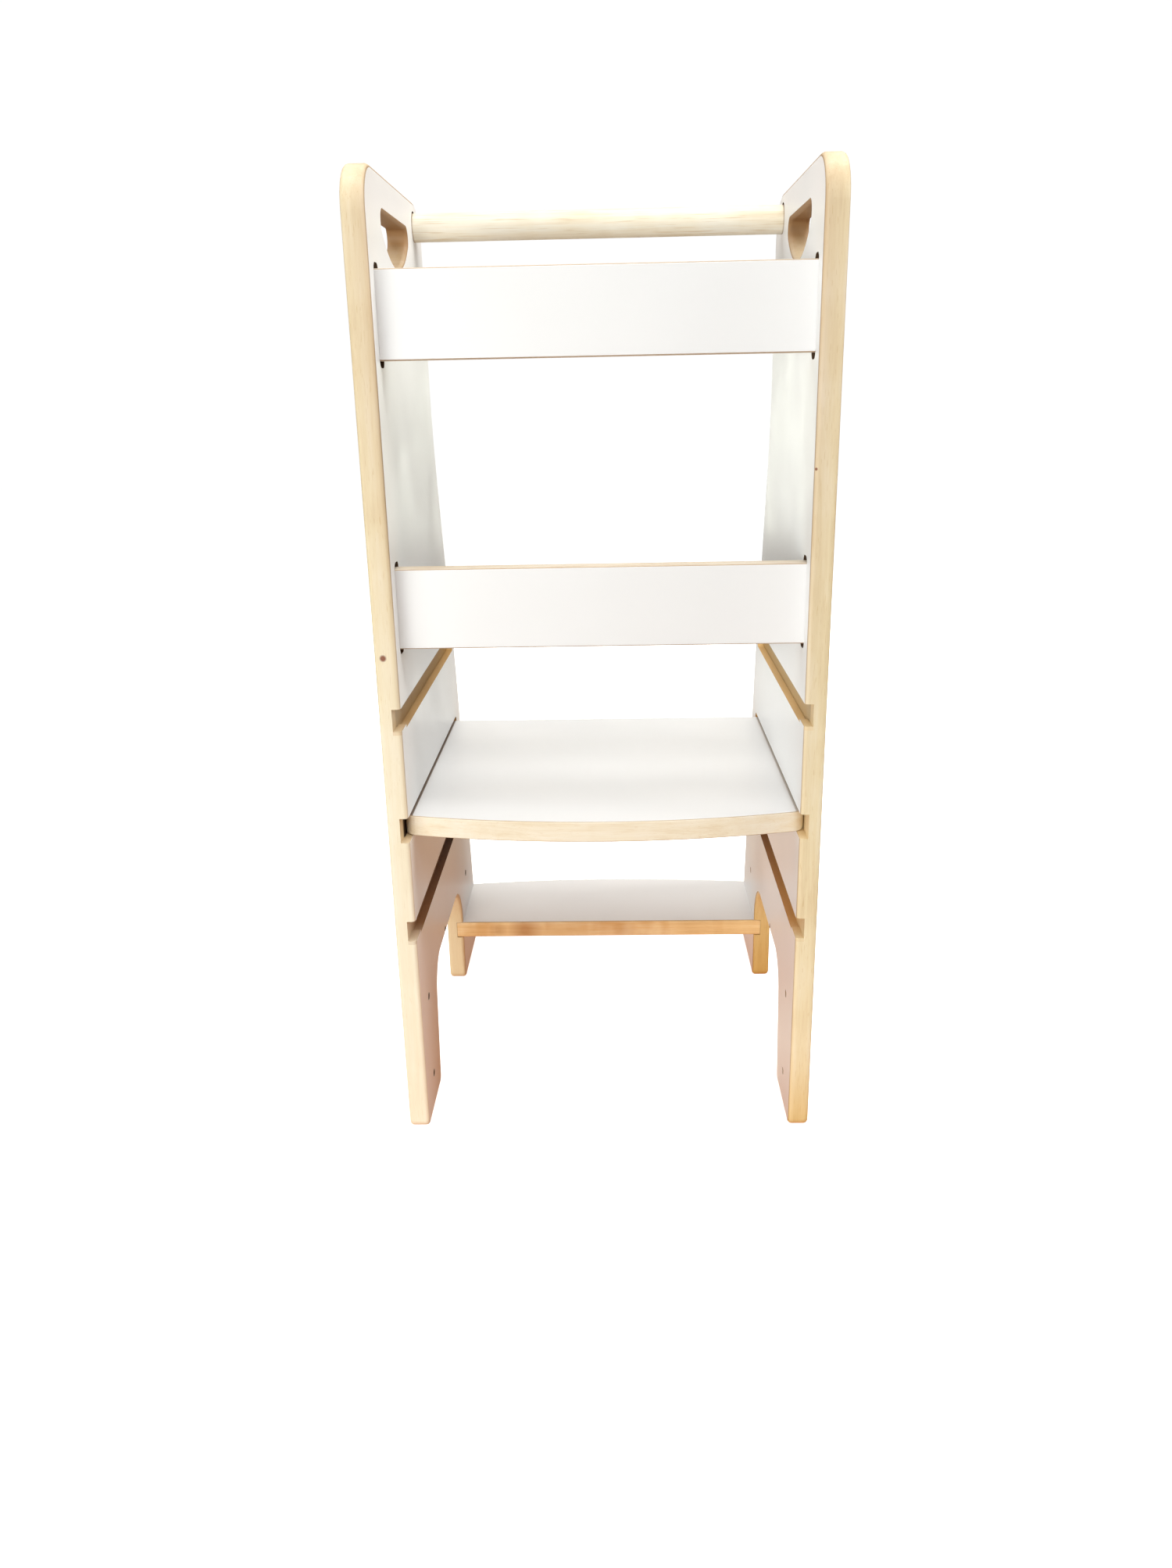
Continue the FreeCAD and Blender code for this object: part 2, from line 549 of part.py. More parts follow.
board_screws = build_screw_group("guard_board_screws", BOARD_SCREWS)
step_screws = build_screw_group("step_board_screws", STEP_SCREWS)
rail_screws = build_screw_group("grab_rail_screws", RAIL_SCREWS)

doc.recompute()
for item in doc.Objects:
    if "Invalid" in item.State or "Error" in item.State:
        raise RuntimeError("%s failed: %s" % (item.Name, item.State))

NODES = [left_panel, right_panel, upper_board, lower_board, rail, platform, step,
         board_screws, step_screws, rail_screws]
os.makedirs("parts", exist_ok=True)
for node in NODES:
    shape = node.Shape
    if shape.isNull() or not shape.isValid():
        raise RuntimeError("%s has no valid shape" % node.Label)
for node in NODES:
    node.Shape.exportStep("parts/%s.step" % node.Label)
    print("%-22s solids %d volume %.1f cm3" % (node.Label, len(node.Shape.Solids), node.Shape.Volume / 1000))
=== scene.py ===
import math
from collections import namedtuple

import bpy
from mathutils import Matrix, Vector


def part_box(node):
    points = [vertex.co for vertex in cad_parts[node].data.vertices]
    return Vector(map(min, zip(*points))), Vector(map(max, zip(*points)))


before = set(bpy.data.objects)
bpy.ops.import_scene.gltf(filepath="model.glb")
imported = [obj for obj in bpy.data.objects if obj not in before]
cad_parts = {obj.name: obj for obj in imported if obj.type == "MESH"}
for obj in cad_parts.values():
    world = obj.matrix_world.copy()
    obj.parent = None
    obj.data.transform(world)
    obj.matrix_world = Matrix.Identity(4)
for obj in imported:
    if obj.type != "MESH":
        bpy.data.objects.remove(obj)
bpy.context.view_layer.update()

# ---------------------------------------------------------------- sizes

# Metres. "Behind" is measured from the front edges of the side panels.
FRONT_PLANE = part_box("side_panel_left")[0][1]
STEP_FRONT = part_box("rear_step_board")[0][1]
INNER_FACE, OUTER_FACE = (corner[0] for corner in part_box("side_panel_right"))
PLATFORM_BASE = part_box("standing_platform")[0][2]


def middle_of(node):
    """How far behind the front edges, and how high, the middle of a piece is."""
    low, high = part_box(node)
    return (low[1] + high[1]) / 2.0 - FRONT_PLANE, (low[2] + high[2]) / 2.0


UPPER_BOARD = middle_of("upper_guard_board")
LOWER_BOARD = middle_of("lower_guard_board")
STEP_BOARD = middle_of("rear_step_board")
RAIL = middle_of("grab_rail")
RAIL_RADIUS = 0.013

RECESS_FLOOR = INNER_FACE + 0.008
BORE_BOTTOM = INNER_FACE + 0.012
BORE_RADIUS = 0.004
FIT_GAP = 0.00015

# Cuts in the inner faces, where the bare core shows: the place of the cut's floor, then the middle
# and half size behind the front edges, and the same over the ground.
Cut = namedtuple("Cut", "floor behind half_length height half_height")

GROOVE_PITCH = 0.104
GROOVE_BEHIND, GROOVE_HALF_LENGTH = 0.170, 0.191
GROOVE_HALF_HEIGHT = 0.01195
SEAT_GAP = 0.0002


def groove(level):
    """The groove that many steps over the one with the platform."""
    middle = PLATFORM_BASE - SEAT_GAP + level * GROOVE_PITCH + GROOVE_HALF_HEIGHT
    return Cut(RECESS_FLOOR, GROOVE_BEHIND, GROOVE_HALF_LENGTH, middle, GROOVE_HALF_HEIGHT)


UPPER_GROOVES = [groove(0), groove(1)]
LOWER_GROOVE = [groove(-1)]
SLOT_HALF_LENGTH, SLOT_HALF_HEIGHT = 0.0101, 0.0410
BOARD_SLOTS = [Cut(RECESS_FLOOR, behind, SLOT_HALF_LENGTH, height, SLOT_HALF_HEIGHT)
               for behind, height in (UPPER_BOARD, LOWER_BOARD)]
SOCKET_RAISE = 0.001
SOCKETS = [Cut(RECESS_FLOOR, RAIL[0], RAIL_RADIUS + FIT_GAP, RAIL[1] + SOCKET_RAISE,
               RAIL_RADIUS + FIT_GAP + SOCKET_RAISE)]
BORE_PLACES = ((0.046, 0.035), (0.046, 0.124), (0.366, 0.124), (0.177, 0.1355))
BORES = [Cut(BORE_BOTTOM, behind, BORE_RADIUS, height, BORE_RADIUS) for behind, height in BORE_PLACES]
HAND_HOLE = [Cut(floor=OUTER_FACE, behind=0.140, half_length=0.0845, height=0.83075, half_height=0.02375)]

# Screw heads in the outer faces: behind the front edges and over the ground.
BOARD_SCREW_OFFSET = 0.0185
STEP_SCREWS_BEHIND = (0.348, 0.411)
SCREW_HEADS = [(behind, height + offset) for behind, height in (UPPER_BOARD, LOWER_BOARD)
               for offset in (BOARD_SCREW_OFFSET, -BOARD_SCREW_OFFSET)]
SCREW_HEADS += [(behind, STEP_BOARD[1]) for behind in STEP_SCREWS_BEHIND]
SCREW_HEADS.append(RAIL)

# ---------------------------------------------------------------- node helpers

# Where in a noise the darker and the paler of two tones begin.
TONE_STOPS = (0.3, 0.7)


class Graph:
    """Adds shader nodes and links them. A value is a number, a colour or another node's socket."""

    def __init__(self, name):
        self.material = bpy.data.materials.new(name)
        self.material.use_nodes = True
        self.tree = self.material.node_tree
        self.tree.nodes.clear()
        self.output = self.tree.nodes.new("ShaderNodeOutputMaterial")

    def put(self, socket, value):
        if isinstance(value, bpy.types.NodeSocket):
            self.tree.links.new(value, socket)
        else:
            socket.default_value = value

    def node(self, kind, inputs=(), **settings):
        node = self.tree.nodes.new(kind)
        for key, setting in settings.items():
            setattr(node, key, setting)
        for key, value in dict(inputs).items():
            self.put(node.inputs[key], value)
        return node

    def math(self, operation, a, b=0.0, c=0.0):
        node = self.node("ShaderNodeMath", operation=operation)
        for socket, value in zip(node.inputs, (a, b, c)):
            self.put(socket, value)
        return node.outputs[0]

    def weighted(self, a, b, share):
        """The mean of two values, with that share of the first."""
        return self.math("MULTIPLY_ADD", a, share, self.math("MULTIPLY", b, 1.0 - share))

    def coordinates(self):
        return self.node("ShaderNodeTexCoord").outputs["Object"]

    def axes(self, coordinates):
        return self.node("ShaderNodeSeparateXYZ", {"Vector": coordinates}).outputs

    def stretched(self, coordinates, scale):
        return self.node("ShaderNodeMapping", {"Vector": coordinates, "Scale": scale}).outputs[0]

    def noise(self, coordinates, scale=1.0, detail=3.0, roughness=0.55, distortion=0.0):
        return self.node("ShaderNodeTexNoise", {
            "Vector": coordinates, "Scale": scale, "Detail": detail,
            "Roughness": roughness, "Distortion": distortion}).outputs["Fac"]

    def distance(self, coordinates, point):
        return self.node("ShaderNodeVectorMath", {0: coordinates, 1: point},
                         operation="DISTANCE").outputs["Value"]

    def ramp(self, factor, stops):
        node = self.node("ShaderNodeValToRGB", {"Fac": factor})
        elements = node.color_ramp.elements
        while len(elements) < len(stops):
            elements.new(0.5)
        for element, (position, colour) in zip(elements, stops):
            element.position = position
            element.color = (*colour, 1.0)
        return node.outputs["Color"]

    def two_tones(self, factor, tones):
        return self.ramp(factor, list(zip(TONE_STOPS, tones)))

    def span(self, value, low, high, to_low=0.0, to_high=1.0):
        """Goes from to_low to to_high while the value goes from low to high."""
        return self.node("ShaderNodeMapRange", {
            "Value": value, "From Min": low, "From Max": high,
            "To Min": to_low, "To Max": to_high}).outputs["Result"]

    def choose(self, condition, number_if_not, number_if_so):
        return self.span(condition, 0.0, 1.0, number_if_not, number_if_so)

    def mix(self, factor, a, b, blend="MIX"):
        node = self.node("ShaderNodeMix", data_type="RGBA", blend_type=blend)
        for socket, value in zip((node.inputs[0], node.inputs[6], node.inputs[7]), (factor, a, b)):
            self.put(socket, value if isinstance(value, (float, bpy.types.NodeSocket)) else (*value, 1.0))
        return node.outputs[2]

    def bump(self, height, strength, distance):
        return self.node("ShaderNodeBump", {
            "Height": height, "Strength": strength, "Distance": distance}).outputs["Normal"]

    def shader(self, colour, roughness, normal=None, **others):
        node = self.node("ShaderNodeBsdfPrincipled", {"Base Color": colour, "Roughness": roughness})
        for key, value in others.items():
            self.put(node.inputs[key.replace("_", " ")], value)
        if normal is not None:
            self.put(node.inputs["Normal"], normal)
        return node.outputs["BSDF"]

    def finish(self, shader):
        self.put(self.output.inputs["Surface"], shader)
        return self.material


# ---------------------------------------------------------------- bare wood

# Linear colours.
Wood = namedtuple("Wood", "dark middle pale")
PANEL_WOOD = Wood((0.77, 0.63, 0.38), (0.87, 0.765, 0.50), (0.92, 0.84, 0.62))
BOARD_WOOD = Wood((0.62, 0.48, 0.34), (0.74, 0.63, 0.48), (0.82, 0.73, 0.60))
PLATFORM_WOOD = Wood((0.76, 0.62, 0.41), (0.86, 0.76, 0.58), (0.90, 0.83, 0.69))
# The step's wood is deeper and more orange: its own tone, and painted shade from under the platform.
STEP_WOOD_AND_SHADE = Wood((0.74, 0.47, 0.20), (0.88, 0.62, 0.30), (0.94, 0.74, 0.44))
RAIL_WOOD = Wood((0.74, 0.61, 0.42), (0.89, 0.80, 0.63), (0.93, 0.88, 0.76))

# How fine the grain is along each axis: small along the fibres, large across them.
UPRIGHT_GRAIN = (120.0, 120.0, 6.0)
LEVEL_GRAIN = (6.0, 120.0, 120.0)
RAIL_GRAIN = (3.0, 90.0, 90.0)
RAIL_PORES = (22.0, 620.0, 620.0)

# How the grain, the flecks and the clouds make the colour. A span is from where to where in the
# noise, and how strong at both ends.
FINE_STRETCH = (4.0, 4.0, 4.0)
FLECK_STRETCH = (9.0, 14.0, 14.0)
PATCH_STRETCH = (1.0, 1.0, 0.5)
FINE_SCALE, CLOUDY_SCALE, PATCH_SCALE = 1.6, 14.0, 17.0
FINE_SHARE, CLOUDY_SHARE = 0.35, 0.30
WOOD_STOPS = (0.34, 0.49, 0.62)
FLECK_SPAN = (0.66, 0.72, 0.0, 0.35)
PATCH_SPAN = (0.50, 0.64)
EVEN, PATCHY = 0.10, 0.45


def wood_look(graph, coordinates, grain_scale, wood, patchy=EVEN):
    """Pale close-grained wood with flecks and patches, and its fine grain for bump and gloss."""
    grain = graph.stretched(coordinates, grain_scale)
    broad = graph.noise(grain, detail=4.0, distortion=0.6)
    fine = graph.noise(graph.stretched(grain, FINE_STRETCH), FINE_SCALE, detail=5.0, roughness=0.7)
    cloudy = graph.noise(coordinates, CLOUDY_SCALE, detail=2.0)
    mixed = graph.weighted(cloudy, graph.weighted(fine, broad, FINE_SHARE), CLOUDY_SHARE)
    colour = graph.ramp(mixed, list(zip(WOOD_STOPS, wood)))
    flecks = graph.noise(graph.stretched(grain, FLECK_STRETCH), detail=1.0)
    colour = graph.mix(graph.span(flecks, *FLECK_SPAN), colour, wood.dark, blend="MULTIPLY")
    patches = graph.noise(graph.stretched(coordinates, PATCH_STRETCH), PATCH_SCALE, roughness=0.6)
    patch = graph.span(patches, *PATCH_SPAN, 0.0, patchy)
    colour = graph.mix(patch, colour, wood.dark, blend="MULTIPLY")
    return colour, fine


# The arris line: where it fades beside a face, and its strengths at the two faces of a board.
ARRIS_BROWN = (0.36, 0.22, 0.12)
ARRIS_REACH = (0.00045, 0.0009)
BOARD_ARRISES = (0.70, 0.70)
PANEL_ARRISES = (0.55, 0.20)


def darken_arrises(graph, along, faces, strengths, colour):
    """The thin dark line where the wood meets the laminate of each face."""
    for face, strength in zip(faces, strengths):
        from_face = graph.math("ABSOLUTE", graph.math("SUBTRACT", along, face))
        arris = graph.span(from_face, *ARRIS_REACH, strength, 0.0)
        colour = graph.mix(arris, colour, ARRIS_BROWN)
    return colour


# Darker patches in the front edge of the step: place, radius and strength.
PATCH_BROWN = (0.50, 0.24, 0.09)
PATCH_CORE = 0.2
STEP_PATCHES = [
    ((-0.137, STEP_FRONT, 0.067), 0.012, 0.35),
    ((-0.103, STEP_FRONT, 0.066), 0.022, 0.60),
    ((0.020, STEP_FRONT, 0.066), 0.016, 0.20),
]


def stain_step(graph, coordinates, colour):
    for point, radius, strength in STEP_PATCHES:
        from_patch = graph.distance(coordinates, point)
        patch = graph.span(from_patch, radius * PATCH_CORE, radius, strength, 0.0)
        colour = graph.mix(patch, colour, PATCH_BROWN, blend="MULTIPLY")
    return colour


# ---------------------------------------------------------------- stains and painted light and shade of the side panels

# Tones that change slowly over a panel: colour, from where to where it fades, and how strong it is. The
# first darkens towards the inner face and higher up; the pale one is painted light on the lower left; the
# rear tan is painted warm shade; the foot tan is partly painted shade.
INNER_TONE = (0.76, 0.67, 0.65)
INNER_TONE_ACROSS = (INNER_FACE, OUTER_FACE - 0.002, 1.0, 0.60)
INNER_TONE_UPWARD = (0.15, 0.75, 0.10, 1.0)
PAINTED_LIGHT_PALE = (0.95, 0.91, 0.80)
PAINTED_LIGHT_UPWARD = (0.25, 0.55)
PAINTED_LIGHT_ON_LEFT = 0.40
REAR_SHADE_TAN = (0.74, 0.50, 0.10)
REAR_SHADE_BEHIND = (0.27, 0.34)
REAR_SHADE_ON_RIGHT, REAR_SHADE_ON_LEFT = 0.90, 0.58
FOOT_TAN_AND_SHADE = (0.82, 0.68, 0.40)
FOOT_SHADE_UPWARD = (0.0, 0.09)
FOOT_SHADE_ON_RIGHT = 0.90

# Stains and painted shade of the cuts: the bare core is browner, and painted shade darkens it deeper in,
# more on the left, at the top of the hand hole, and to near black in the board slots, the sockets and the
# bores on the left. Of two colours, the first is at the mouth and the second deep in.
UPPER_GROOVE_RIGHT, UPPER_GROOVE_LEFT = (0.78, 0.54, 0.25), (0.62, 0.38, 0.145)
LOWER_GROOVE_RIGHT = (0.72, 0.46, 0.18), (0.30, 0.135, 0.040)
LOWER_GROOVE_LEFT = (0.36, 0.175, 0.06), (0.07, 0.024, 0.009)
LOWER_GROOVE_BEHIND = (0.02, 0.30)
UPPER_GROOVE_STRENGTH = (0.001, 0.05, 0.35, 0.88)
LOWER_GROOVE_STRENGTH = (0.001, 0.05, 0.22, 0.94)
BORE_RIGHT, BORE_LEFT = (0.40, 0.27, 0.17), (0.020, 0.010, 0.006)
CORE_SHADE_BROWN = (0.07, 0.034, 0.015)
CORE_SHADE_STRENGTH = 0.97
HOLE_BROWN_AND_SHADE = (0.34, 0.18, 0.07)
HOLE_UPWARD = (0.820, 0.838)
HOLE_FOOT_RIGHT, HOLE_FOOT_LEFT, HOLE_TOP = 0.08, 0.35, 0.95

# How far into a cut's walls the mask of the cuts reaches.
MASK_SLACK = 0.00015

# Painted shade: the floors of the two upper grooves are darker than their walls, the middle one on the left
# near black.
FLOOR_SKIN = 0.0012
FLOOR_BEHIND = (0.014, 0.019)
TOP_FLOOR, MIDDLE_FLOOR_RIGHT, MIDDLE_FLOOR_LEFT = 0.30, 0.10, 0.97
MIDDLE_GROOVE_TOP = 0.34

# Small knots in the front edges: place and radius.
KNOT_BROWN = (0.22, 0.055, 0.018)
KNOT_STRENGTH = 0.95
KNOT_CORE, KNOT_RIM = 0.7, 1.3
KNOTS = [
    ((-0.192, FRONT_PLANE, 0.483), 0.0027),
    ((0.1815, FRONT_PLANE + 0.001, 0.638), 0.0012),
]


def in_cuts(graph, along, behind, height, cuts):
    """1 in the walls and floors of the cuts, 0 elsewhere."""
    found = 0.0
    for cut in cuts:
        shallow = graph.math("LESS_THAN", along, cut.floor + MASK_SLACK)
        level = graph.math("COMPARE", behind, cut.behind, cut.half_length + MASK_SLACK)
        upright = graph.math("COMPARE", height, cut.height, cut.half_height + MASK_SLACK)
        here = graph.math("MULTIPLY", shallow, graph.math("MULTIPLY", level, upright))
        found = graph.math("MAXIMUM", found, here)
    return found


def tone_panel(graph, along, behind, height, on_left, colour):
    """Darker towards the inner face and higher up; painted light makes the lower left paler; painted warm
    shade makes the rear edges tan, more on the right; the right foot is tan, partly painted shade.
    """
    inner_tone = graph.math("MULTIPLY", graph.span(along, *INNER_TONE_ACROSS), graph.span(height, *INNER_TONE_UPWARD))
    colour = graph.mix(inner_tone, colour, INNER_TONE, blend="MULTIPLY")
    # Painted light: paler low on the left.
    pale = graph.span(height, *PAINTED_LIGHT_UPWARD, graph.choose(on_left, 0.0, PAINTED_LIGHT_ON_LEFT), 0.0)
    colour = graph.mix(pale, colour, PAINTED_LIGHT_PALE)
    # Painted warm shade: tan towards the rear edges, more on the right.
    rear = graph.span(behind, *REAR_SHADE_BEHIND, 0.0, graph.choose(on_left, REAR_SHADE_ON_RIGHT, REAR_SHADE_ON_LEFT))
    colour = graph.mix(rear, colour, REAR_SHADE_TAN, blend="MULTIPLY")
    # Tan at the right foot, partly painted shade.
    foot_tan_and_shade = graph.span(height, *FOOT_SHADE_UPWARD, graph.choose(on_left, FOOT_SHADE_ON_RIGHT, 0.0), 0.0)
    return graph.mix(foot_tan_and_shade, colour, FOOT_TAN_AND_SHADE, blend="MULTIPLY")


def stain_cuts(graph, along, behind, height, on_left, colour):
    """Bare core browner in the cuts, with painted shade on top: each kind of cut with its own colour and
    strength.
    """
    upper_stain = graph.mix(on_left, UPPER_GROOVE_RIGHT, UPPER_GROOVE_LEFT)
    deep_in = graph.span(behind, *LOWER_GROOVE_BEHIND)
    lower_stain = graph.mix(on_left, graph.mix(deep_in, *LOWER_GROOVE_RIGHT),
                            graph.mix(deep_in, *LOWER_GROOVE_LEFT))
    bore_stain = graph.mix(on_left, BORE_RIGHT, BORE_LEFT)
    hole_foot = graph.choose(on_left, HOLE_FOOT_RIGHT, HOLE_FOOT_LEFT)
    for cuts, stain, strength in (
            (UPPER_GROOVES, upper_stain, graph.span(behind, *UPPER_GROOVE_STRENGTH)),
            (LOWER_GROOVE, lower_stain, graph.span(behind, *LOWER_GROOVE_STRENGTH)),
            (HAND_HOLE, HOLE_BROWN_AND_SHADE, graph.span(height, *HOLE_UPWARD, hole_foot, HOLE_TOP)),
            (BOARD_SLOTS + SOCKETS, CORE_SHADE_BROWN, CORE_SHADE_STRENGTH),
            (BORES, bore_stain, CORE_SHADE_STRENGTH)):
        shade = graph.math("MULTIPLY", in_cuts(graph, along, behind, height, cuts), strength)
        colour = graph.mix(shade, colour, stain)
    return colour


# Painted shade on the floors of the two upper grooves.
def stain_groove_floors(graph, along, behind, height, on_left, colour):
    deep = graph.math("GREATER_THAN", along, RECESS_FLOOR - FLOOR_SKIN)
    floor = graph.math("MULTIPLY", in_cuts(graph, along, behind, height, UPPER_GROOVES), deep)
    in_middle = graph.math("LESS_THAN", height, MIDDLE_GROOVE_TOP)
    middle_strength = graph.choose(on_left, MIDDLE_FLOOR_RIGHT, MIDDLE_FLOOR_LEFT)
    strength = graph.math("MULTIPLY", graph.choose(in_middle, TOP_FLOOR, middle_strength),
                          graph.span(behind, *FLOOR_BEHIND))
    return graph.mix(graph.math("MULTIPLY", floor, strength), colour, CORE_SHADE_BROWN)


# The panels' stains, together with their painted light and painted shade.
def stain_panel(graph, coordinates, colour):
    axes = graph.axes(coordinates)
    along = graph.math("ABSOLUTE", axes["X"])
    behind = graph.math("SUBTRACT", axes["Y"], FRONT_PLANE)
    on_left = graph.math("LESS_THAN", axes["X"], 0.0)
    for add_stain in (tone_panel, stain_cuts, stain_groove_floors):
        colour = add_stain(graph, along, behind, axes["Z"], on_left, colour)
    for point, radius in KNOTS:
        from_knot = graph.distance(coordinates, point)
        knot = graph.span(from_knot, radius * KNOT_CORE, radius * KNOT_RIM, KNOT_STRENGTH, 0.0)
        colour = graph.mix(knot, colour, KNOT_BROWN)
    return colour


# ---------------------------------------------------------------- laminated boards

# A gloss is a span of the noise and the roughness at both ends. A relief is bump strength and depth.
BARE_GLOSS, BARE_RELIEF = (0.25, 0.75, 0.50, 0.66), (0.18, 0.0004)
LAMINATE_GLOSS, LAMINATE_RELIEF = (0.30, 0.70, 0.30, 0.42), (0.05, 0.0002)
LAMINATE_WHITES = ((0.845, 0.842, 0.832), (0.872, 0.870, 0.862))
MOTTLE_SCALE, SMUDGE_SCALE, PEEL_SCALE = 5.0, 11.0, 420.0
FACE_TOLERANCE = 0.00012
# Painted shade of the seam where the platform runs into the grooves, with rub wear.
RUB_AND_SEAM_SHADE_BROWN = (0.17, 0.11, 0.07)
RUB_AND_SEAM_SHADE_MARGIN = (INNER_FACE - 0.0012, INNER_FACE - 0.0004)
RUB_AND_SEAM_SHADE_SIDES = (-0.1, 0.1, 0.88, 0.40)


def rub_margins(graph, coordinates, colour):
    """Painted shade of the seam along the platform's two sides, with rub wear, stronger on the left."""
    across = graph.axes(coordinates)["X"]
    strength = graph.span(across, *RUB_AND_SEAM_SHADE_SIDES)
    rubbed = graph.span(graph.math("ABSOLUTE", across), *RUB_AND_SEAM_SHADE_MARGIN, 0.0, strength)
    return graph.mix(rubbed, colour, RUB_AND_SEAM_SHADE_BROWN)


def bare_shader(graph, coordinates, along, faces, grain_scale, wood, patchy, arrises, stain):
    colour, fine = wood_look(graph, coordinates, grain_scale, wood, patchy)
    colour = darken_arrises(graph, along, faces, arrises, colour)
    if stain:
        colour = stain(graph, coordinates, colour)
    return graph.shader(colour, graph.span(fine, *BARE_GLOSS), graph.bump(fine, *BARE_RELIEF))


def laminate_shader(graph, coordinates, rub):
    """Satin white with a faint mottle and an even fine peel."""
    colour = graph.two_tones(graph.noise(coordinates, MOTTLE_SCALE, detail=2.0), LAMINATE_WHITES)
    if rub:
        colour = rub(graph, coordinates, colour)
    peel = graph.noise(coordinates, PEEL_SCALE, detail=1.0)
    smudge = graph.noise(coordinates, SMUDGE_SCALE, detail=4.0, roughness=0.6)
    return graph.shader(colour, graph.span(smudge, *LAMINATE_GLOSS), graph.bump(peel, *LAMINATE_RELIEF))


def board_material(name, axis, faces, grain_scale, wood, patchy=EVEN, arrises=BOARD_ARRISES,
                   mirrored=False, stain=None, rub=None):
    """White laminate on the two flat faces that lie at the given places along one axis, and bare
    wood on every other face: edges, roundings, grooves and holes."""
    graph = Graph(name)
    coordinates = graph.coordinates()
    along = graph.axes(coordinates)["XYZ"[axis]]
    if mirrored:
        along = graph.math("ABSOLUTE", along)
    on_faces = [graph.math("COMPARE", along, face, FACE_TOLERANCE) for face in faces]
    laminated = graph.math("MAXIMUM", *on_faces)
    bare = bare_shader(graph, coordinates, along, faces, grain_scale, wood, patchy, arrises, stain)
    laminate = laminate_shader(graph, coordinates, rub)
    blend = graph.node("ShaderNodeMixShader")
    for socket, value in zip(blend.inputs, (laminated, bare, laminate)):
        graph.put(socket, value)
    return graph.finish(blend.outputs[0])


# ---------------------------------------------------------------- rail and screws

# Painted shade where the rail runs into the sockets.
RAIL_END_SHADE = (INNER_FACE - 0.0012, INNER_FACE, 0.0, 0.8)
PORE_SPAN = (0.56, 0.68, 0.0, 0.55)
RAIL_GLOSS, RAIL_RELIEF = (0.25, 0.75, 0.45, 0.60), (0.15, 0.0003)
RAIL_SHINE = 0.2


def rail_material():
    """Dowel with fine pores and streaks along its length, and painted shade where it enters the sockets."""
    graph = Graph("rail_wood")
    coordinates = graph.coordinates()
    colour, fine = wood_look(graph, coordinates, RAIL_GRAIN, RAIL_WOOD)
    pores = graph.noise(graph.stretched(coordinates, RAIL_PORES), detail=2.0)
    colour = graph.mix(graph.span(pores, *PORE_SPAN), colour, RAIL_WOOD.dark, blend="MULTIPLY")
    from_middle = graph.math("ABSOLUTE", graph.axes(coordinates)["X"])
    colour = graph.mix(graph.span(from_middle, *RAIL_END_SHADE), colour, ARRIS_BROWN)
    return graph.finish(graph.shader(colour, graph.span(fine, *RAIL_GLOSS), graph.bump(fine, *RAIL_RELIEF),
                                     Specular_IOR_Level=RAIL_SHINE))


ZINC_GREYS = ((0.40, 0.40, 0.41), (0.56, 0.56, 0.57))
ZINC_SCALE = 900.0
ZINC_GLOSS = (0.3, 0.7, 0.42, 0.58)
# Painted shade of the key hole.
KEYHOLE_SHADE_BLACK = (0.03, 0.03, 0.032)
KEYHOLE_HALF = 0.002
KEYHOLE_RIM = (KEYHOLE_HALF, KEYHOLE_HALF + 0.0003, 1.0, 0.0)
HEXAGON_SLANT = math.radians(60.0)


def from_hexagon(graph, level, up):
    """How far a point is from the middle of an upright hexagon, measured across its sides."""
    reach = graph.math("ABSOLUTE", up)
    for side in (1.0, -1.0):
        slanted = graph.math("MULTIPLY_ADD", level, side * math.sin(HEXAGON_SLANT),
                             graph.math("MULTIPLY", up, math.cos(HEXAGON_SLANT)))
        reach = graph.math("MAXIMUM", reach, graph.math("ABSOLUTE", slanted))
    return reach


def screw_material():
    """Zinc-plated heads, with painted black shade in a hexagon where the key goes in."""
    graph = Graph("zinc_screw")
    coordinates = graph.coordinates()
    axes = graph.axes(coordinates)
    mottled = graph.noise(coordinates, ZINC_SCALE)
    behind = graph.math("SUBTRACT", axes["Y"], FRONT_PLANE)
    nearest = 1.0
    for middle, height in SCREW_HEADS:
        level = graph.math("SUBTRACT", behind, middle)
        up = graph.math("SUBTRACT", axes["Z"], height)
        nearest = graph.math("MINIMUM", nearest, from_hexagon(graph, level, up))
    keyhole_shade = graph.span(nearest, *KEYHOLE_RIM)
    colour = graph.mix(keyhole_shade, graph.two_tones(mottled, ZINC_GREYS), KEYHOLE_SHADE_BLACK)
    return graph.finish(graph.shader(colour, graph.span(mottled, *ZINC_GLOSS), Metallic=1.0))


# ---------------------------------------------------------------- dressing the pieces


def dress(node, material):
    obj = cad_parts[node]
    obj.data.materials.clear()
    obj.data.materials.append(material)


def dress_board(node, axis, wood, **special):
    low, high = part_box(node)
    dress(node, board_material(node + "_board", axis, (low[axis], high[axis]), LEVEL_GRAIN, wood, **special))


panel_board = board_material("panel_board", 0, (INNER_FACE, OUTER_FACE), UPRIGHT_GRAIN, PANEL_WOOD,
                             arrises=PANEL_ARRISES, mirrored=True, stain=stain_panel)
for node in ("side_panel_left", "side_panel_right"):
    dress(node, panel_board)
dress_board("upper_guard_board", 1, BOARD_WOOD)
dress_board("lower_guard_board", 1, BOARD_WOOD)
dress_board("standing_platform", 2, PLATFORM_WOOD, rub=rub_margins)
dress_board("rear_step_board", 2, STEP_WOOD_AND_SHADE, patchy=PATCHY, stain=stain_step)
dress("grab_rail", rail_material())
screws = screw_material()
for node in ("guard_board_screws", "step_board_screws", "grab_rail_screws"):
    dress(node, screws)

# ---------------------------------------------------------------- floor

